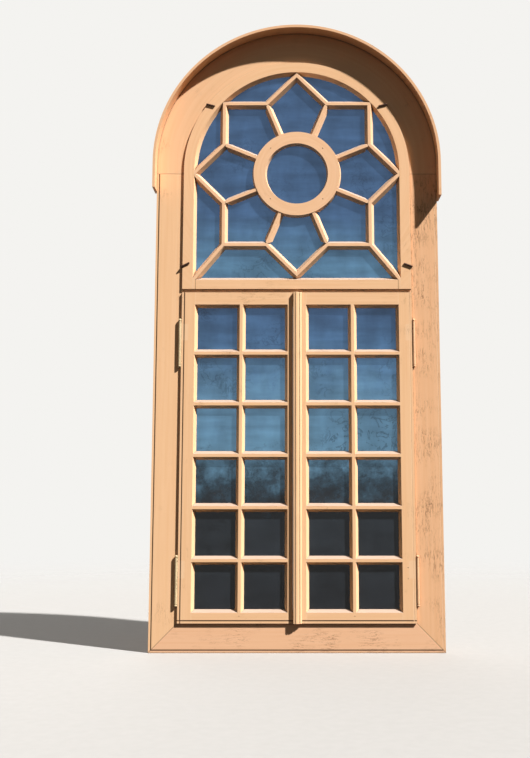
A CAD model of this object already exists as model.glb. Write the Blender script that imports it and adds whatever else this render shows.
# %% [markdown]
# # An old arched window in apricot oil paint
#
# The window is a boarded casing with a bent drip hood, a fixed arch light with a star of glazing bars
# round a ring, and two leaves of small panes. Its wood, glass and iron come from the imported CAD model
# as a fixed frame, so this lesson is about finishes: paint that has been brushed over planed boards,
# old glass that mirrors the sky, and iron that was painted over with the wood. We load the model first
# and keep its box, because nothing that is added later may change the window's size.

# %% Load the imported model
import math

import bpy
import numpy as np
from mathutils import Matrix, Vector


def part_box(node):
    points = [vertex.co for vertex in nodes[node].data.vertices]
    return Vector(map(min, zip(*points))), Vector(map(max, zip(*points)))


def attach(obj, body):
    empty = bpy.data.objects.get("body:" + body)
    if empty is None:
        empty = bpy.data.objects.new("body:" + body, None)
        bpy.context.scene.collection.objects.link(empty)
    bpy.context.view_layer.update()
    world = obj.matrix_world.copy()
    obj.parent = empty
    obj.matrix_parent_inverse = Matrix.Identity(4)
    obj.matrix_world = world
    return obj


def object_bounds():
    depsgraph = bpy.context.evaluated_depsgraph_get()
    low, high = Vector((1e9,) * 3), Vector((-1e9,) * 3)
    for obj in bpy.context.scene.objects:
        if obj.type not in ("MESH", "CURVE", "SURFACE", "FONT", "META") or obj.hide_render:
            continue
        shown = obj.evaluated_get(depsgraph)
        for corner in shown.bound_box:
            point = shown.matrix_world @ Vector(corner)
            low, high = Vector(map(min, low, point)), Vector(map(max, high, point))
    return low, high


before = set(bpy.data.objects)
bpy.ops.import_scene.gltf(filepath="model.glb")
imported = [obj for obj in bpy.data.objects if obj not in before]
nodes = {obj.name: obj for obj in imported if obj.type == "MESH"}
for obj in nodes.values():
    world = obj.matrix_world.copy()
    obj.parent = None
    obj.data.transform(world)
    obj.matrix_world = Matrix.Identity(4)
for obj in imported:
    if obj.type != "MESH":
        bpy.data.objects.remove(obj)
cad_box = [list(corner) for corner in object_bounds()]
print(len(nodes), "CAD nodes, from", np.round(cad_box[0], 3), "to", np.round(cad_box[1], 3))

# %% [markdown]
# ## Two small tools
#
# Colours are written as the hex values that one reads off a picture. Blender's shaders work in linear
# light, so one function turns a hex value to linear numbers. A second function adds a shader node with
# its settings and links. Every material below is made with these two.

# %% Colour and node helpers
MM = 0.001
# Sockets that a Mix node uses for colours
MIX_A, MIX_B, MIX_OUT = 6, 7, 2


def linear(hex_colour):
    """An sRGB hex value as linear red, green, blue and alpha: c / 12.92 in the dark, and above that
    (c + 0.055) / 1.055 to the power of 2.4."""
    value = np.array([int(hex_colour[i:i + 2], 16) for i in (1, 3, 5)]) / 255
    value = np.where(value <= 0.04045, value / 12.92, ((value + 0.055) / 1.055) ** 2.4)
    return (*value.tolist(), 1.0)


def add(tree, kind, inputs=None, **settings):
    """Adds a node of a kind with its settings, and links sockets or sets values on its inputs."""
    made = tree.nodes.new(kind)
    for key, value in settings.items():
        setattr(made, key, value)
    for key, value in (inputs or {}).items():
        if isinstance(value, bpy.types.NodeSocket):
            tree.links.new(value, made.inputs[key])
        else:
            made.inputs[key].default_value = value
    return made


def new_material(name):
    """An empty node material, and its tree."""
    material = bpy.data.materials.new(name)
    material.use_nodes = True
    material.node_tree.nodes.clear()
    return material, material.node_tree


def dress(material, *names):
    """Gives a material to CAD nodes, in place of the one they came with."""
    for name in names:
        slots = nodes[name].data.materials
        slots.clear()
        slots.append(material)


print("paint in the sun is about", np.round(linear("#f5c399")[:3], 2), "in linear light")

# %% [markdown]
# ## Camera
#
# The photograph was taken from about three metres, a little left of the middle, by a camera held below
# the middle of the window and tilted up by eight degrees. Its frame was cropped, so the optical axis
# isn't in the middle of the picture: the camera's shift gives that. The picture is upright, and Blender
# lays the sensor's width along the longer side, so lens and shift are shares of the picture's height.

# %% Camera
FRAME_W, FRAME_H = 530, 758
FOCAL_PX = 1000.0
AXIS_PX = (293.5, 351.0)
SENSOR = 36.0
TILT = math.radians(8.0)
CAMERA_AT = (-0.010, -3.029, 0.445)

camera_data = bpy.data.cameras.new("camera")
camera_data.sensor_width = SENSOR
camera_data.lens = FOCAL_PX / FRAME_H * SENSOR
camera_data.shift_x = (FRAME_W / 2 - AXIS_PX[0]) / FRAME_H
camera_data.shift_y = (AXIS_PX[1] - FRAME_H / 2) / FRAME_H
camera = bpy.data.objects.new("camera", camera_data)
camera.location = CAMERA_AT
camera.rotation_euler = (math.pi / 2 + TILT, 0.0, 0.0)
bpy.context.collection.objects.link(camera)
bpy.context.scene.camera = camera
print("lens", round(camera_data.lens, 2),
      "shift", round(camera_data.shift_x, 4), round(camera_data.shift_y, 4))

# %% [markdown]
# ## Sun, fill and sky
#
# The sun came from the upper right, which throws the hood's shadow over the arch. A sun lamp's rays are
# parallel, so the shadow falls as it does outdoors. A weak wide lamp from the front and a low world
# light, brighter above than below, stand for the sky. A wide lamp behind the window lights the room
# side, which the photograph doesn't show.

# %% Lamps
# Direction of travel, strength, and width of the disc in degrees
LAMPS = {
    "sun": ((-1.5, 1.0, -2.0), 7.2, 1.5),
    "front_fill": ((0.35, 1.0, -0.25), 0.05, 60.0),
    "room_fill": ((0.45, -1.0, -0.12), 1.8, 90.0),
}


def add_sun(name, travel, strength, disc_deg):
    """A sun lamp that shines along a direction: tipped up from straight down, then turned about Z."""
    data = bpy.data.lights.new(name, "SUN")
    data.energy = strength
    data.angle = math.radians(disc_deg)
    lamp = bpy.data.objects.new(name, data)
    x, y, z = np.array(travel) / np.linalg.norm(travel)
    lamp.rotation_euler = (math.acos(-z), 0.0, math.atan2(-x, y))
    bpy.context.collection.objects.link(lamp)
    print(name, "strength", strength, "disc", disc_deg, "degrees")


for lamp_name, lamp_facts in LAMPS.items():
    add_sun(lamp_name, *lamp_facts)

# %% World
SKY_LIGHT, GROUND_LIGHT = 0.15, 0.03
GROUND_UP, SKY_UP = -0.3, 0.5
SKY_TONE, BACKDROP = "#f2efe9", "#f4f3f0"

scene = bpy.context.scene
scene.view_settings.view_transform = "Standard"
world = bpy.data.worlds.new("sky")
world.use_nodes = True
scene.world = world
tree = world.node_tree
tree.nodes.clear()

# The camera, gloss and glass see a bright backdrop, and all other rays get the low light
rays = add(tree, "ShaderNodeLightPath").outputs
seen = add(tree, "ShaderNodeMath", {0: rays["Is Camera Ray"], 1: rays["Is Glossy Ray"]},
           operation="MAXIMUM")
seen = add(tree, "ShaderNodeMath", {0: seen.outputs[0], 1: rays["Is Transmission Ray"]},
           operation="MAXIMUM")
direction = add(tree, "ShaderNodeTexCoord").outputs["Generated"]
up = add(tree, "ShaderNodeSeparateXYZ", {0: direction}).outputs[2]
glow = add(tree, "ShaderNodeMapRange",
           {"Value": up, "From Min": GROUND_UP, "From Max": SKY_UP,
            "To Min": GROUND_LIGHT, "To Max": SKY_LIGHT})
light = add(tree, "ShaderNodeBackground", {"Color": linear(SKY_TONE), "Strength": glow.outputs[0]})
shown = add(tree, "ShaderNodeBackground", {"Color": linear(BACKDROP), "Strength": 1.0})
sky = add(tree, "ShaderNodeMixShader", {0: seen.outputs[0], 1: light.outputs[0], 2: shown.outputs[0]})
add(tree, "ShaderNodeOutputWorld", {"Surface": sky.outputs[0]})
print("world light from", GROUND_LIGHT, "below to", SKY_LIGHT, "above")

# %% [markdown]
# ## Studio floor
#
# The floor is one matt sheet under the casing. It fades out with distance, so that no horizon crosses
# the picture, and it throws no light back on the window, because the shade under the hood is dark. Both
# come from mixing its paint with a clear shader.

# %% Floor
FLOOR_R = 6.0
FLOOR_CLEAR = 0.5 * MM
FADE = (1.2, 4.5)
SPECK_SCALE = 40.0
FLOOR_TONES = ("#a8a5a1", "#b0ada9")

floor_z = cad_box[0][2] - FLOOR_CLEAR
corners = np.array([[-1, -1, 0], [1, -1, 0], [1, 1, 0], [-1, 1, 0]]) * FLOOR_R + [0, 0, floor_z]
floor_mesh = bpy.data.meshes.new("floor")
floor_mesh.from_pydata(corners.tolist(), [], [(0, 1, 2, 3)])
floor = bpy.data.objects.new("floor", floor_mesh)
bpy.context.collection.objects.link(floor)

material, tree = new_material("studio_floor")
place = add(tree, "ShaderNodeTexCoord").outputs["Object"]
distance = add(tree, "ShaderNodeVectorMath", {0: place}, operation="LENGTH").outputs["Value"]
fade = add(tree, "ShaderNodeMapRange", {"Value": distance, "From Min": FADE[0], "From Max": FADE[1]},
           interpolation_type="SMOOTHSTEP")
speck = add(tree, "ShaderNodeTexNoise", {"Vector": place, "Scale": SPECK_SCALE, "Detail": 4.0})
tint = add(tree, "ShaderNodeMix",
           {0: speck.outputs["Fac"], MIX_A: linear(FLOOR_TONES[0]), MIX_B: linear(FLOOR_TONES[1])},
           data_type="RGBA")
matt = add(tree, "ShaderNodeBsdfPrincipled", {"Base Color": tint.outputs[MIX_OUT], "Roughness": 0.9})
clear = add(tree, "ShaderNodeBsdfTransparent")
rays = add(tree, "ShaderNodeLightPath").outputs
gone = add(tree, "ShaderNodeMath", {0: fade.outputs[0], 1: rays["Is Diffuse Ray"]}, operation="MAXIMUM")
mixed = add(tree, "ShaderNodeMixShader", {0: gone.outputs[0], 1: matt.outputs[0], 2: clear.outputs[0]})
add(tree, "ShaderNodeOutputMaterial", {"Surface": mixed.outputs[0]})
floor_mesh.materials.append(material)
print("floor at", round(floor_z, 4), "m")

# %% [markdown]
# ## Which way the grain runs
#
# The boards are softwood, and both the grain and the brush run along each of them. A pattern therefore
# has to turn with the board: along Z on the uprights, along X on the rails, and round the centre on the
# arched pieces. One function builds a coordinate with two directions across the grain and one along it,
# and every pattern of the paint reads that.

# %% Grain coordinate
ARCH_R = 388 * MM


def grain_place(tree, along, centre_z):
    """Object coordinates, and a coordinate whose third number runs along the grain: Z, X, or the arc
    angle * ARCH_R round a centre. All are in metres."""
    place = add(tree, "ShaderNodeTexCoord").outputs["Object"]
    x, y, z = add(tree, "ShaderNodeSeparateXYZ", {0: place}).outputs
    if along == "up":
        order = (x, y, z)
    elif along == "across":
        order = (z, y, x)
    else:
        rise = add(tree, "ShaderNodeMath", {0: z, 1: centre_z}, operation="SUBTRACT").outputs[0]
        flat = add(tree, "ShaderNodeCombineXYZ", {0: x, 1: rise}).outputs[0]
        radius = add(tree, "ShaderNodeVectorMath", {0: flat}, operation="LENGTH").outputs["Value"]
        angle = add(tree, "ShaderNodeMath", {0: x, 1: rise}, operation="ARCTAN2").outputs[0]
        arc = add(tree, "ShaderNodeMath", {0: angle, 1: ARCH_R}, operation="MULTIPLY").outputs[0]
        order = (radius, y, arc)
    return place, add(tree, "ShaderNodeCombineXYZ", dict(enumerate(order))).outputs[0]


def grain_scale(width, length):
    """What a grain coordinate is multiplied by, for marks so wide across the grain and so long along it."""
    return (1 / width, 1 / width, 1 / length)


print("the grain of the arch is", round(math.pi * ARCH_R, 3), "m long")

# %% [markdown]
# ## Lines at the joints and in the quirks
#
# A hairline shows where two boards meet under the paint. Grime has blackened the quirks, the narrow
# grooves beside the edges, on the left and below, where rain runs along them. Both are straight lines in
# the window's plane, so a distance to a line draws them, with no need for a picture or a UV map.

# %% Line mask
# Share of a line's width that is fully dark
LINE_CORE = 0.3


def line_mask(tree, place, lines, width):
    """1 on lines through a point (px, pz) at an angle, on the left and the right alike: the distance
    |(|x| - px) * nx + (z - pz) * nz|, where (nx, nz) is square to the line, is under a width."""
    x, _, z = add(tree, "ShaderNodeSeparateXYZ", {0: place}).outputs
    side = add(tree, "ShaderNodeMath", {0: x}, operation="ABSOLUTE").outputs[0]
    total = None
    for (px, pz), angle_deg in lines:
        angle = math.radians(angle_deg)
        nx, nz = -math.sin(angle), math.cos(angle)
        part = add(tree, "ShaderNodeMath", {0: side, 1: nx, 2: -nx * px}, operation="MULTIPLY_ADD")
        away = add(tree, "ShaderNodeMath", {0: z, 1: nz, 2: part.outputs[0]}, operation="MULTIPLY_ADD")
        away = add(tree, "ShaderNodeMath", {0: away.outputs[0], 1: -nz * pz}, operation="ADD")
        away = add(tree, "ShaderNodeMath", {0: away.outputs[0]}, operation="ABSOLUTE")
        mask = add(tree, "ShaderNodeMapRange",
                   {"Value": away.outputs[0], "From Min": LINE_CORE * width, "From Max": width,
                    "To Min": 1.0, "To Max": 0.0}).outputs[0]
        if total is not None:
            mask = add(tree, "ShaderNodeMath", {0: total, 1: mask}, operation="MAXIMUM").outputs[0]
        total = mask
    return total


print("a line is dark over", LINE_CORE, "of its width")

# %% [markdown]
# ## Brushed coats and sun checks
#
# Several coats of apricot oil paint lie on the wood. The brush leaves fine ridges, the grain shows as
# deeper streaks, and the coats have dulled in blotches. Boards that the sun burns show short checks
# along the grain. A stretched noise gives each of these, with its size in millimetres.

# %% Brushed coat
# Width and length of marks along the grain. Streaks are 1 to 2 mm wide on the real boards, and are drawn
# coarser, because 7 mm shows at this distance
STREAK, BRUSH = (7 * MM, 300 * MM), (2 * MM, 90 * MM)
BLOTCH = 110 * MM
# Shares of the tone's red, green and blue that are left in a blotch and in a streak
DULL, DEEP = (0.98, 0.97, 0.955), (0.95, 0.91, 0.86)


def brushed_coat(tree, place, grain, tone):
    """The tone, duller in blotches and deeper in streaks; gives the colour, the blotches and the brush."""
    streak = add(tree, "ShaderNodeVectorMath", {0: grain, 1: grain_scale(*STREAK)}, operation="MULTIPLY")
    streak = add(tree, "ShaderNodeTexNoise",
                 {"Vector": streak.outputs[0], "Scale": 1.0, "Detail": 3.0, "Roughness": 0.6})
    streak = add(tree, "ShaderNodeMapRange",
                 {"Value": streak.outputs["Fac"], "From Min": 0.38, "From Max": 0.72}).outputs[0]
    blotch = add(tree, "ShaderNodeTexNoise", {"Vector": place, "Scale": 1 / BLOTCH, "Detail": 4.0})
    blotch = add(tree, "ShaderNodeMapRange",
                 {"Value": blotch.outputs["Fac"], "From Min": 0.35, "From Max": 0.7}).outputs[0]
    brush = add(tree, "ShaderNodeVectorMath", {0: grain, 1: grain_scale(*BRUSH)}, operation="MULTIPLY")
    brush = add(tree, "ShaderNodeTexNoise", {"Vector": brush.outputs[0], "Scale": 1.0, "Detail": 2.0})

    full = np.array(linear(tone)[:3])
    colour = (*full, 1.0)
    for share, left in ((blotch, DULL), (streak, DEEP)):
        colour = add(tree, "ShaderNodeMix", {0: share, MIX_A: colour, MIX_B: (*(full * left), 1.0)},
                     data_type="RGBA").outputs[MIX_OUT]
    return colour, blotch, brush.outputs["Fac"]


print("streaks of", STREAK, "m, brush marks of", BRUSH, "m")

# %% Sun checks
CHECK, CHECK_PATCH = (9 * MM, 70 * MM), 70 * MM


def sun_checks(tree, place, grain, amount):
    """Checks are thin level lines of a stretched noise, |noise - 0.5| near 0, kept where a coarse noise
    is high."""
    ridge = add(tree, "ShaderNodeVectorMath", {0: grain, 1: grain_scale(*CHECK)}, operation="MULTIPLY")
    ridge = add(tree, "ShaderNodeTexNoise",
                {"Vector": ridge.outputs[0], "Scale": 1.0, "Detail": 4.0, "Roughness": 0.7})
    ridge = add(tree, "ShaderNodeMath", {0: ridge.outputs["Fac"], 1: 0.5}, operation="SUBTRACT")
    ridge = add(tree, "ShaderNodeMath", {0: ridge.outputs[0]}, operation="ABSOLUTE")
    ridge = add(tree, "ShaderNodeMapRange",
                {"Value": ridge.outputs[0], "From Min": 0.004, "From Max": 0.03,
                 "To Min": 1.0, "To Max": 0.0})
    patch = add(tree, "ShaderNodeTexNoise", {"Vector": place, "Scale": 1 / CHECK_PATCH, "Detail": 2.0})
    patch = add(tree, "ShaderNodeMapRange",
                {"Value": patch.outputs["Fac"], "From Min": 0.62 - 0.2 * amount, "From Max": 0.75})
    check = add(tree, "ShaderNodeMath", {0: ridge.outputs[0], 1: patch.outputs[0]}, operation="MULTIPLY")
    strength = 0.25 + 0.6 * amount
    return add(tree, "ShaderNodeMath", {0: check.outputs[0], 1: strength}, operation="MULTIPLY").outputs[0]


print("checks of", CHECK, "m in patches of", CHECK_PATCH, "m")

# %% [markdown]
# ## Oil paint that has weathered
#
# Edges are rubbed a little paler, dust lies on whatever looks up, and dirt gathers where the surface is
# hemmed in. Ambient occlusion finds the edges and the corners, and the normal finds the ledges, so one
# paint suits every board. Old oil paint has lost its gloss: it is rough, with little specular light.

# %% Weathering
RUB_REACH, DIRT_REACH = 4 * MM, 9 * MM
RUBBED, DUST, CHECKED, DIRT = "#ffdcb6", "#9a908b", "#7a4a30", "#4a2a18"
DUST_SHARE = 0.7


def weathered(tree, colour, check):
    """The colour with rubbed edges, then dust, then checks, then dirt over it."""
    edge = add(tree, "ShaderNodeAmbientOcclusion", {"Distance": RUB_REACH}, samples=6, inside=True)
    rubbed = add(tree, "ShaderNodeMapRange",
                 {"Value": edge.outputs["AO"], "From Min": 0.4, "From Max": 0.75,
                  "To Min": 0.3, "To Max": 0.0}).outputs[0]
    normal = add(tree, "ShaderNodeNewGeometry").outputs["Normal"]
    facing = add(tree, "ShaderNodeSeparateXYZ", {0: normal}).outputs[2]
    dust = add(tree, "ShaderNodeMapRange",
               {"Value": facing, "From Min": 0.4, "From Max": 0.8, "To Max": DUST_SHARE}).outputs[0]
    hemmed = add(tree, "ShaderNodeAmbientOcclusion", {"Distance": DIRT_REACH}, samples=6)
    dirt = add(tree, "ShaderNodeMapRange",
               {"Value": hemmed.outputs["AO"], "From Min": 0.25, "From Max": 0.75,
                "To Min": 0.95, "To Max": 0.0}).outputs[0]
    for share, stain in ((rubbed, RUBBED), (dust, DUST), (check, CHECKED), (dirt, DIRT)):
        colour = add(tree, "ShaderNodeMix", {0: share, MIX_A: colour, MIX_B: linear(stain)},
                     data_type="RGBA").outputs[MIX_OUT]
    return colour


print("dust takes", DUST_SHARE, "of the colour on ledges")

# %% Oil paint
# Width, share and stain of a hairline at a joint and of a grimy line
SEAM, GRIME = (1.4 * MM, 0.6, "#6b422c"), (2.6 * MM, 0.85, "#4a2a1a")
BRUSH_RELIEF, PAINT_RELIEF = 0.35, 0.5 * MM
PAINT_ROUGH = (0.55, 0.75)


def oil_paint(name, tone, along, centre_z=0.0, checks=0.0, seams=(), grime=()):
    """Brushed and weathered oil paint, with hairlines at joints and grimy lines. Its relief is
    0.35 * brush - sunk, where checks and lines are sunk."""
    material, tree = new_material(name)
    place, grain = grain_place(tree, along, centre_z)
    colour, blotch, brush = brushed_coat(tree, place, grain, tone)
    sunk = sun_checks(tree, place, grain, checks)
    colour = weathered(tree, colour, sunk)
    for lines, (width, share, stain) in ((seams, SEAM), (grime, GRIME)):
        if lines:
            line = line_mask(tree, place, lines, width)
            faint = add(tree, "ShaderNodeMath", {0: line, 1: share}, operation="MULTIPLY").outputs[0]
            colour = add(tree, "ShaderNodeMix", {0: faint, MIX_A: colour, MIX_B: linear(stain)},
                         data_type="RGBA").outputs[MIX_OUT]
            sunk = add(tree, "ShaderNodeMath", {0: sunk, 1: line}, operation="MAXIMUM").outputs[0]

    relief = add(tree, "ShaderNodeMath", {0: brush, 1: BRUSH_RELIEF}, operation="MULTIPLY")
    relief = add(tree, "ShaderNodeMath", {0: sunk, 1: -1.0, 2: relief.outputs[0]}, operation="MULTIPLY_ADD")
    bump = add(tree, "ShaderNodeBump",
               {"Strength": 0.6, "Distance": PAINT_RELIEF, "Height": relief.outputs[0]})
    rough = add(tree, "ShaderNodeMapRange",
                {"Value": blotch, "To Min": PAINT_ROUGH[0], "To Max": PAINT_ROUGH[1]})
    shader = add(tree, "ShaderNodeBsdfPrincipled",
                 {"Base Color": colour, "Roughness": rough.outputs[0], "Specular IOR Level": 0.05,
                  "Normal": bump.outputs[0]})
    add(tree, "ShaderNodeOutputMaterial", {"Surface": shader.outputs[0]})
    return material


print("hairlines of", SEAM[0], "m and grimy lines of", GRIME[0], "m")

# %% [markdown]
# ## Paint on each board
#
# The tones were read off the photograph board by board: the casing's right board is darker and the most
# checked, the lower board less so, and the rest is nearly one colour. A mitre joins the lower corners of
# the casing, and the arched boards meet the straight ones at the springing, level with the ring's centre.

# %% Lines on the boards
RING_Z, OPENING_Z, CASING_Z = 1423 * MM, 1435 * MM, 1450 * MM
# A point (x, z) and an angle in degrees for each line
MITRE = ((342 * MM, 72 * MM), -45.0)
SPRINGING = ((0.0, RING_Z), 0.0)
RAIL_END = ((310 * MM, 0.0), 90.0)
CASING_SIDE = ((426.4 * MM, 0.0), 90.0)
CASING_FOOT = ((0.0, -12.4 * MM), 0.0)
LEAF_SIDE = ((342.4 * MM, 0.0), 90.0)
LEAF_FOOT = ((0.0, 71.6 * MM), 0.0)
print("springing at", RING_Z, "m")

# %% Paint the casing
casing_right_paint = oil_paint("paint_casing_right", "#f4bf92", "up", checks=1.0,
                               seams=[MITRE, SPRINGING])
dress(casing_right_paint, "casing_right")
dress(oil_paint("paint_casing_left", "#fccb9c", "up", seams=[MITRE, SPRINGING], grime=[CASING_SIDE]),
      "casing_left")
dress(oil_paint("paint_casing_bottom", "#f8c49b", "across", checks=0.7, seams=[MITRE],
                grime=[CASING_FOOT]),
      "casing_bottom")
dress(oil_paint("paint_casing_arch", "#f8c79a", "round", CASING_Z, checks=0.2, seams=[SPRINGING]),
      "casing_arch")
dress(oil_paint("paint_hood", "#f4c195", "round", CASING_Z, checks=0.4), "hood")
print(len(bpy.data.materials), "materials with the casing")

# %% Paint the leaves and the arch light
upright = oil_paint("paint_upright", "#fbca9b", "up", checks=0.2)
dress(upright, "jamb_left", "jamb_right", "cover_strip", "left_bar_upright", "right_bar_upright")
dress(oil_paint("paint_stile", "#fbca9b", "up", checks=0.2, grime=[LEAF_FOOT]),
      "right_stile_outer", "left_stile_meeting", "right_stile_meeting")
dress(oil_paint("paint_left_stile", "#fbca9b", "up", checks=0.2, grime=[LEAF_SIDE, LEAF_FOOT]),
      "left_stile_outer")
dress(oil_paint("paint_across", "#fac99b", "across", checks=0.3),
      "sill", "transom", "left_rail_top", "left_bars_across", "right_rail_top", "right_bars_across")
dress(oil_paint("paint_bottom_rail", "#fac99b", "across", checks=0.3, grime=[LEAF_FOOT]),
      "left_rail_bottom", "right_rail_bottom")
dress(oil_paint("paint_light_rail", "#fac99b", "across", checks=0.2, seams=[RAIL_END]), "light_rail")
dress(oil_paint("paint_light_head", "#fbca9c", "round", OPENING_Z),
      "light_arch", "light_stile_left", "light_stile_right", "head_arch")
dress(oil_paint("paint_ring", "#fccba0", "round", RING_Z),
      "rosette_ring", "star_bars", "star_spokes", "star_spurs")
print(len(bpy.data.materials), "materials with the leaves and the arch light")

# %% [markdown]
# ## What the glass mirrors
#
# In the photograph the panes mirror a blue sky, paler lower down, as far as a ragged line of trees, and
# the two lowest rows of panes look into the dark room. A studio has no such sky, so the tone is part of
# the glass here: a colour ramp up the window, made ragged by noise.

# %% Mirrored view
GLASS_TOP = 1.9
SKY_STOPS = ((0.10, "#272b30"), (0.40, "#272d33"), (0.47, "#344957"), (0.56, "#648da7"),
             (0.74, "#658eac"), (0.90, "#50749a"), (1.00, "#466489"), (1.12, "#608aa8"),
             (1.30, "#49698f"), (1.75, "#466489"))
FOLIAGE, TREE_RISE = 60 * MM, 0.34
# Heights between which the raggedness dies down, and what is left of it
CALM_FROM, CALM_TO, CALM = 0.62, 1.0, 0.25


def mirrored_view(tree, place, z):
    """Colour of the view: a ramp of z + (noise - 0.5) * rise, where the rise is less high up."""
    trees = add(tree, "ShaderNodeTexNoise",
                {"Vector": place, "Scale": 1 / FOLIAGE, "Detail": 6.0, "Roughness": 0.7})
    ragged = add(tree, "ShaderNodeMath", {0: trees.outputs["Fac"], 1: TREE_RISE, 2: -TREE_RISE / 2},
                 operation="MULTIPLY_ADD")
    low = add(tree, "ShaderNodeMapRange",
              {"Value": z, "From Min": CALM_FROM, "From Max": CALM_TO, "To Min": 1.0, "To Max": CALM})
    height = add(tree, "ShaderNodeMath", {0: ragged.outputs[0], 1: low.outputs[0], 2: z},
                 operation="MULTIPLY_ADD")
    height = add(tree, "ShaderNodeMath", {0: height.outputs[0], 1: GLASS_TOP}, operation="DIVIDE")
    ramp = add(tree, "ShaderNodeValToRGB", {0: height.outputs[0]})
    for stop_z, _ in SKY_STOPS[2:]:
        ramp.color_ramp.elements.new(stop_z / GLASS_TOP)
    for element, (stop_z, tone) in zip(ramp.color_ramp.elements, SKY_STOPS):
        element.position = stop_z / GLASS_TOP
        element.color = linear(tone)
    return ramp.outputs[0]


print("sky ramp of", len(SKY_STOPS), "stops up the glass")

# %% [markdown]
# ## Light and shade in the panes
#
# Soft bands lie across the panes, streaks run up the drawn glass, and some twigs show against the sky.
# Each pane of a leaf has a tone of its own, because no two were bedded at the same slant. All of these
# are shares that the view's colour is multiplied by.

# %% Bands and streaks
# Width and height of the marks, the part of the noise that is used, and the shares that it gives
BANDS = ((190 * MM, 34 * MM), (0.32, 0.68), (0.8, 1.16))
STREAKS = ((62 * MM, 150 * MM), (0.35, 0.65), (0.88, 1.14))


def soft_shade(tree, place, size, used, share):
    """A share of the tone from a noise that is stretched to a width and a height."""
    cells = add(tree, "ShaderNodeVectorMath", {0: place, 1: (1 / size[0], 1.0, 1 / size[1])},
                operation="MULTIPLY")
    soft = add(tree, "ShaderNodeTexNoise", {"Vector": cells.outputs[0], "Scale": 1.0, "Detail": 3.0})
    return add(tree, "ShaderNodeMapRange",
               {"Value": soft.outputs["Fac"], "From Min": used[0], "From Max": used[1],
                "To Min": share[0], "To Max": share[1]}).outputs[0]


print("bands of", BANDS[0], "m and streaks of", STREAKS[0], "m")

# %% Twigs
TWIG, TWIG_SHARE, CROWN = 48 * MM, 0.45, 240 * MM


def twigs(tree, place, z):
    """Twigs are level lines of a noise, |noise - 0.5| near 0, kept in crowns and fainter high up."""
    twig = add(tree, "ShaderNodeTexNoise",
               {"Vector": place, "Scale": 1 / TWIG, "Detail": 5.0, "Roughness": 0.62, "Distortion": 0.6})
    twig = add(tree, "ShaderNodeMath", {0: twig.outputs["Fac"], 1: 0.5}, operation="SUBTRACT")
    twig = add(tree, "ShaderNodeMath", {0: twig.outputs[0]}, operation="ABSOLUTE")
    twig = add(tree, "ShaderNodeMapRange",
               {"Value": twig.outputs[0], "From Min": 0.004, "From Max": 0.03,
                "To Min": TWIG_SHARE, "To Max": 0.0})
    crown = add(tree, "ShaderNodeTexNoise", {"Vector": place, "Scale": 1 / CROWN, "Detail": 2.0})
    crown = add(tree, "ShaderNodeMapRange",
                {"Value": crown.outputs["Fac"], "From Min": 0.5, "From Max": 0.62})
    near = add(tree, "ShaderNodeMapRange",
               {"Value": z, "From Min": 0.6, "From Max": 1.1, "To Min": 1.0, "To Max": 0.55})
    crown = add(tree, "ShaderNodeMath", {0: crown.outputs[0], 1: near.outputs[0]}, operation="MULTIPLY")
    return add(tree, "ShaderNodeMath", {0: twig.outputs[0], 1: crown.outputs[0]},
               operation="MULTIPLY").outputs[0]


print("twigs of", TWIG, "m in crowns of", CROWN, "m")

# %% Own tone of each pane
PANE_PITCH, PANES_LOW = (146 * MM, 154 * MM), 90 * MM
# In front of all the glass, so that a pane is one cell deep
PANES_FRONT = -0.5
OWN_TONE = (0.88, 1.1)


def pane_tone(tree, place, panes_left):
    """One chance number for each cell of the grid of panes, which starts at a leaf's first pane."""
    start = (panes_left, PANES_FRONT, PANES_LOW)
    cell = add(tree, "ShaderNodeVectorMath", {0: place, 1: start}, operation="SUBTRACT")
    cell = add(tree, "ShaderNodeVectorMath", {0: cell.outputs[0], 1: (PANE_PITCH[0], 1.0, PANE_PITCH[1])},
               operation="SNAP")
    cell = add(tree, "ShaderNodeVectorMath", {0: cell.outputs[0], 1: start}, operation="ADD")
    chance = add(tree, "ShaderNodeTexWhiteNoise", {"Vector": cell.outputs[0]}).outputs["Value"]
    return add(tree, "ShaderNodeMapRange",
               {"Value": chance, "To Min": OWN_TONE[0], "To Max": OWN_TONE[1]}).outputs[0]


print("panes every", PANE_PITCH[0], "by", PANE_PITCH[1], "m")

# %% [markdown]
# ## Old window glass
#
# The panes are drawn sheet glass, smooth and a little wavy. A mirrored sky isn't shaded by the bars, so
# above the tree line a share of the tone is given off as light, and the rest is the glass's own colour.
# Some light still passes through, and gloss comes from the shader.

# %% Glass
MIRRORED, SKY_LEVEL = 0.65, 0.70
TREE_LINE = (0.40, 0.55)
WAVE, WAVE_RELIEF = 60 * MM, 2 * MM
LEFT_PANES_X, RIGHT_PANES_X = -315 * MM, 23 * MM


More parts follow.
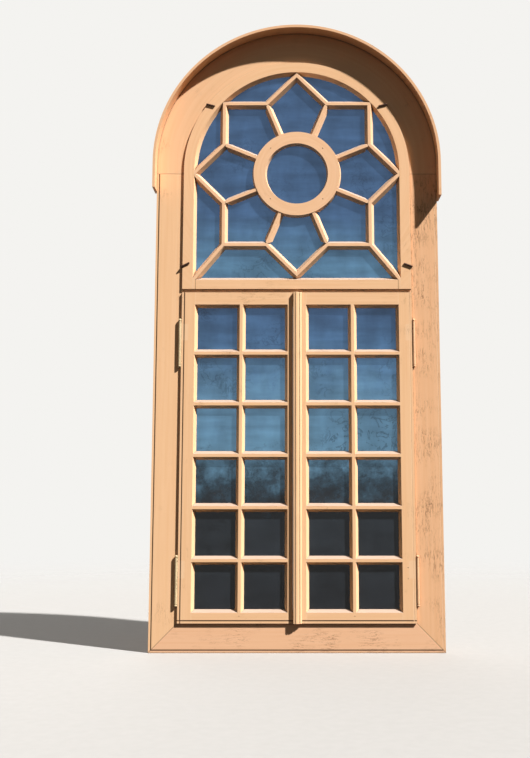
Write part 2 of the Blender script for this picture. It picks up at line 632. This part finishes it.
def sheet_glass(name, panes_left=None):
    """Wavy glass: the view times bands times streaks, less twigs, and times each pane's own tone."""
    material, tree = new_material(name)
    place = add(tree, "ShaderNodeTexCoord").outputs["Object"]
    z = add(tree, "ShaderNodeSeparateXYZ", {0: place}).outputs[2]
    shade = add(tree, "ShaderNodeMath",
                {0: soft_shade(tree, place, *BANDS), 1: soft_shade(tree, place, *STREAKS)},
                operation="MULTIPLY").outputs[0]
    shade = add(tree, "ShaderNodeMath", {0: shade, 1: twigs(tree, place, z)},
                operation="SUBTRACT").outputs[0]
    if panes_left is not None:
        shade = add(tree, "ShaderNodeMath", {0: shade, 1: pane_tone(tree, place, panes_left)},
                    operation="MULTIPLY").outputs[0]
    colour = add(tree, "ShaderNodeVectorMath", {0: mirrored_view(tree, place, z), "Scale": shade},
                 operation="SCALE").outputs[0]

    mirrored = add(tree, "ShaderNodeMapRange",
                   {"Value": z, "From Min": TREE_LINE[0], "From Max": TREE_LINE[1],
                    "To Max": MIRRORED}).outputs[0]
    kept = add(tree, "ShaderNodeMath", {0: 1.0, 1: mirrored}, operation="SUBTRACT").outputs[0]
    film = add(tree, "ShaderNodeVectorMath", {0: colour, "Scale": kept}, operation="SCALE").outputs[0]
    given = add(tree, "ShaderNodeVectorMath", {0: colour, "Scale": mirrored}, operation="SCALE").outputs[0]
    wave = add(tree, "ShaderNodeTexNoise", {"Vector": place, "Scale": 1 / WAVE, "Detail": 1.0})
    bump = add(tree, "ShaderNodeBump",
               {"Strength": 0.25, "Distance": WAVE_RELIEF, "Height": wave.outputs["Fac"]})
    shader = add(tree, "ShaderNodeBsdfPrincipled",
                 {"Base Color": film, "Roughness": 0.06, "IOR": 1.5, "Specular IOR Level": 0.15,
                  "Transmission Weight": 0.3, "Emission Color": given, "Emission Strength": SKY_LEVEL,
                  "Normal": bump.outputs[0]})
    add(tree, "ShaderNodeOutputMaterial", {"Surface": shader.outputs[0]})
    return material


dress(sheet_glass("glass_arch_light"), "light_panes")
dress(sheet_glass("glass_left_leaf", LEFT_PANES_X), "left_panes")
dress(sheet_glass("glass_right_leaf", RIGHT_PANES_X), "right_panes")
print(len(bpy.data.materials), "materials with the glass")

# %% [markdown]
# ## Iron
#
# The barrel hinges were painted with the window, and the paint has worn thin and pale on the knuckles,
# with rust specks. The bent nails are bare and rusty. The bolts and the catch on the room side are
# wrought iron, oiled black. One function makes all three, from a skin, what shows through it, and how
# much of that shows.

# %% Iron finishes
FLECK, CLOUD = 5 * MM, 25 * MM
IRON_RELIEF = 0.3 * MM
ROUGH_PLAY = 0.1


def iron(name, skin, under, share, metal, rough):
    """Iron with a skin of paint or rust: the under colour shows where a fine noise is high, and a coarse
    noise makes the whole lighter and darker."""
    material, tree = new_material(name)
    place = add(tree, "ShaderNodeTexCoord").outputs["Object"]
    fleck = add(tree, "ShaderNodeTexNoise",
                {"Vector": place, "Scale": 1 / FLECK, "Detail": 5.0, "Roughness": 0.7}).outputs["Fac"]
    worn = add(tree, "ShaderNodeMapRange",
               {"Value": fleck, "From Min": 0.66 - 0.3 * share, "From Max": 0.72 - 0.2 * share})
    colour = add(tree, "ShaderNodeMix", {0: worn.outputs[0], MIX_A: linear(skin), MIX_B: linear(under)},
                 data_type="RGBA").outputs[MIX_OUT]
    cloud = add(tree, "ShaderNodeTexNoise", {"Vector": place, "Scale": 1 / CLOUD, "Detail": 2.0})
    cloud = add(tree, "ShaderNodeMapRange", {"Value": cloud.outputs["Fac"], "To Min": 0.8, "To Max": 1.15})
    colour = add(tree, "ShaderNodeVectorMath", {0: colour, "Scale": cloud.outputs[0]}, operation="SCALE")
    bump = add(tree, "ShaderNodeBump", {"Strength": 0.5, "Distance": IRON_RELIEF, "Height": fleck})
    coarse = add(tree, "ShaderNodeMapRange",
                 {"Value": fleck, "To Min": rough - ROUGH_PLAY, "To Max": rough + ROUGH_PLAY})
    shader = add(tree, "ShaderNodeBsdfPrincipled",
                 {"Base Color": colour.outputs[0], "Metallic": metal, "Roughness": coarse.outputs[0],
                  "Normal": bump.outputs[0]})
    add(tree, "ShaderNodeOutputMaterial", {"Surface": shader.outputs[0]})
    return material


HINGE_PARTS = [at + part for at in ("low_", "high_") for part in ("frame", "leaf", "pin")]
dress(iron("hinge_paint_rubbed", "#d2b98e", "#6e553c", 0.3, 0.0, 0.6),
      *["hinge_left_" + part for part in HINGE_PARTS])
dress(iron("hinge_paint_whole", "#eab688", "#7a5036", 0.2, 0.0, 0.65),
      *["hinge_right_" + part for part in HINGE_PARTS])
dress(iron("rusty_nail", "#4a2d1d", "#2b1a12", 0.5, 0.3, 0.75), "light_nails")
dress(iron("oiled_wrought_iron", "#35312e", "#57504a", 0.3, 0.8, 0.5),
      "bolt_low_plate", "bolt_low_rod", "bolt_high_plate", "bolt_high_rod",
      "catch_plate", "catch_lever", "catch_keeper")
print(len(bpy.data.materials), "materials with the iron")

# %% [markdown]
# ## Nails and pegs under the paint
#
# Four nails hold the ring to the spokes behind it, and pegs lock the joints of the leaves. Their ends
# show as small flat domes under the paint. A dome is a surface of two parameters: a share of the radius
# and a turn. One mesh holds all the domes of a group, made as whole arrays.

# %% Domes
RINGS_OF_DOME, TURNS_OF_DOME = 5, 16
DOME_SINK = 0.2 * MM


def domes(name, spots, radius, height, front):
    """Flat domes on a face that looks along -Y, closed behind: at share u of the radius a dome stands out
    by (height + sink) * (1 - u^4) - sink, so that its rim is a little way in the wood."""
    u = np.linspace(0.0, 1.0, RINGS_OF_DOME + 1)[1:]
    turn = np.arange(TURNS_OF_DOME) * 2 * np.pi / TURNS_OF_DOME
    across = (u[:, None] * np.cos(turn)).ravel() * radius
    up = (u[:, None] * np.sin(turn)).ravel() * radius
    out = np.repeat((height + DOME_SINK) * (1 - u ** 4) - DOME_SINK, TURNS_OF_DOME)
    depth = np.append(front - out, front - height)
    one = np.column_stack([np.append(across, 0.0), depth, np.append(up, 0.0)])
    ring, step = np.meshgrid(np.arange(RINGS_OF_DOME - 1), np.arange(TURNS_OF_DOME), indexing="ij")
    after = (step + 1) % TURNS_OF_DOME
    a, b = ring * TURNS_OF_DOME + step, ring * TURNS_OF_DOME + after
    quads = np.stack([a, b, b + TURNS_OF_DOME, a + TURNS_OF_DOME], axis=-1).reshape(-1, 4)
    first = np.arange(TURNS_OF_DOME)
    middle = np.full(TURNS_OF_DOME, len(one) - 1)
    fan = np.column_stack([middle, first, (first + 1) % TURNS_OF_DOME])
    back = (RINGS_OF_DOME - 1) * TURNS_OF_DOME + first[::-1]
    places = np.array([[x, 0.0, z] for x, z in spots])
    points = (places[:, None, :] + one).reshape(-1, 3)
    shift = np.arange(len(spots))[:, None, None] * len(one)
    faces = (fan + shift).reshape(-1, 3).tolist() + (quads[:, ::-1] + shift).reshape(-1, 4).tolist()
    faces += (back + shift[:, 0]).tolist()
    mesh = bpy.data.meshes.new(name)
    mesh.from_pydata(points.tolist(), [], faces)
    mesh.shade_smooth()
    made = bpy.data.objects.new(name, mesh)
    bpy.context.collection.objects.link(made)
    print(name, len(spots), "domes,", len(faces), "faces")
    return made


print(RINGS_OF_DOME * TURNS_OF_DOME + 1, "points to a dome")

# %% Place the nails and pegs
NAIL_CIRCLE = 114.5 * MM
NAIL_TURNS = np.radians([45.0, 135.0, 225.0, 315.0])
# Radius and height of a dome
NAIL, PEG = (2.6 * MM, 0.5 * MM), (2.2 * MM, 0.4 * MM)
LEFT_PEGS = [(-169 * MM, 85 * MM)]
RIGHT_PEGS = [(169 * MM, 85 * MM), (327 * MM, 192 * MM), (327 * MM, 224 * MM)]

ring_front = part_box("rosette_ring")[0].y
leaf_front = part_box("left_stile_outer")[0].y
ring_spots = [(NAIL_CIRCLE * math.cos(a), RING_Z + NAIL_CIRCLE * math.sin(a)) for a in NAIL_TURNS]
nail_paint = iron("painted_nail_head", "#d9a87e", "#7a5036", 0.6, 0.0, 0.6)
ring_nails = domes("ring_nails", ring_spots, *NAIL, ring_front)
left_pegs = domes("left_leaf_pegs", LEFT_PEGS, *PEG, leaf_front)
right_pegs = domes("right_leaf_pegs", RIGHT_PEGS, *PEG, leaf_front)
for piece, body in ((ring_nails, "frame"), (left_pegs, "left_leaf"), (right_pegs, "right_leaf")):
    piece.data.materials.append(nail_paint)
    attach(piece, body)

# %% [markdown]
# ## Clogged quirks, and a fillet between the leaves
#
# A quirk is a narrow groove beside the edge of a board. On the right side of the window the coats of
# paint have filled it, so a bar of paint lies in it there, just below the face of the wood, hollow like
# any paint that dries in a groove. Between the leaves a thin rounded fillet on the right leaf closes most
# of the gap, so that no light comes through beside the cover strip. It sits level with the hinges, where
# the gap stays clear when a leaf swings. Both are one profile carried upwards, so one function makes them.

# %% Slim bars
STEPS_ACROSS, STEPS_ALONG = 7, 61
RIPPLE, RIPPLE_SHARE = 90 * MM, 0.2


def slim_bar(name, low, high, bow):
    """A profile carried up Z, between two corners: at share u across, its front is
    low + bow * 4u(1 - u), and the bow ripples slowly with height."""
    u = np.linspace(0.0, 1.0, STEPS_ACROSS)
    z = np.linspace(low[2], high[2], STEPS_ALONG)[:, None]
    ripple = 1 - RIPPLE_SHARE + RIPPLE_SHARE * np.sin(2 * np.pi * z / RIPPLE)
    front = low[1] + bow * ripple * 4 * u * (1 - u)
    across = np.concatenate([low[0] + u * (high[0] - low[0]), [high[0], low[0]]])
    depth = np.column_stack([front, np.full((STEPS_ALONG, 2), high[1])])
    across, up = np.broadcast_to(across, depth.shape), np.broadcast_to(z, depth.shape)
    points = np.stack([across, depth, up], axis=-1)
    girth = depth.shape[1]
    row, step = np.meshgrid(np.arange(STEPS_ALONG - 1), np.arange(girth), indexing="ij")
    a, b = row * girth + step, row * girth + (step + 1) % girth
    sides = np.stack([a, b, b + girth, a + girth], axis=-1).reshape(-1, 4).tolist()
    last = (STEPS_ALONG - 1) * girth
    ends = [list(range(girth))[::-1], list(range(last, last + girth))]
    mesh = bpy.data.meshes.new(name)
    mesh.from_pydata(points.reshape(-1, 3).tolist(), [], sides + ends)
    made = bpy.data.objects.new(name, mesh)
    bpy.context.collection.objects.link(made)
    print(name, "from", np.round(low, 4), "to", np.round(high, 4))
    return made


print(STEPS_ALONG, "steps along a bar")

# %% Fill the quirks and close the gap
# Distances from the board's edge, and depths below its face
QUIRK_NEAR, QUIRK_FAR = 6.5 * MM, 8.7 * MM
QUIRK_SUNK, QUIRK_FLOOR, QUIRK_BOW = 0.15 * MM, 1.75 * MM, 0.25 * MM
FILLET_SUNK, FILLET_BACK, FILLET_BOW = 0.6 * MM, 3.5 * MM, -0.3 * MM
FILLET_CLEAR = 0.3 * MM

bars = []
for name, board, body, paint in (
        ("casing_quirk_paint", "casing_right", "frame", casing_right_paint),
        ("leaf_quirk_paint", "right_stile_outer", "right_leaf", upright)):
    low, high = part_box(board)
    bar = slim_bar(name, (high.x - QUIRK_FAR, low.y + QUIRK_SUNK, low.z + QUIRK_NEAR),
                   (high.x - QUIRK_NEAR, low.y + QUIRK_FLOOR, high.z), QUIRK_BOW)
    bars.append((bar, body, paint))
left_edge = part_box("left_stile_meeting")[1].x
low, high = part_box("right_stile_meeting")
fillet = slim_bar("meeting_fillet", (left_edge + FILLET_CLEAR, low.y + FILLET_SUNK, low.z),
                  (low.x, low.y + FILLET_BACK, high.z), FILLET_BOW)
bars.append((fillet, "right_leaf", upright))
for bar, body, paint in bars:
    bar.data.materials.append(paint)
    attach(bar, body)
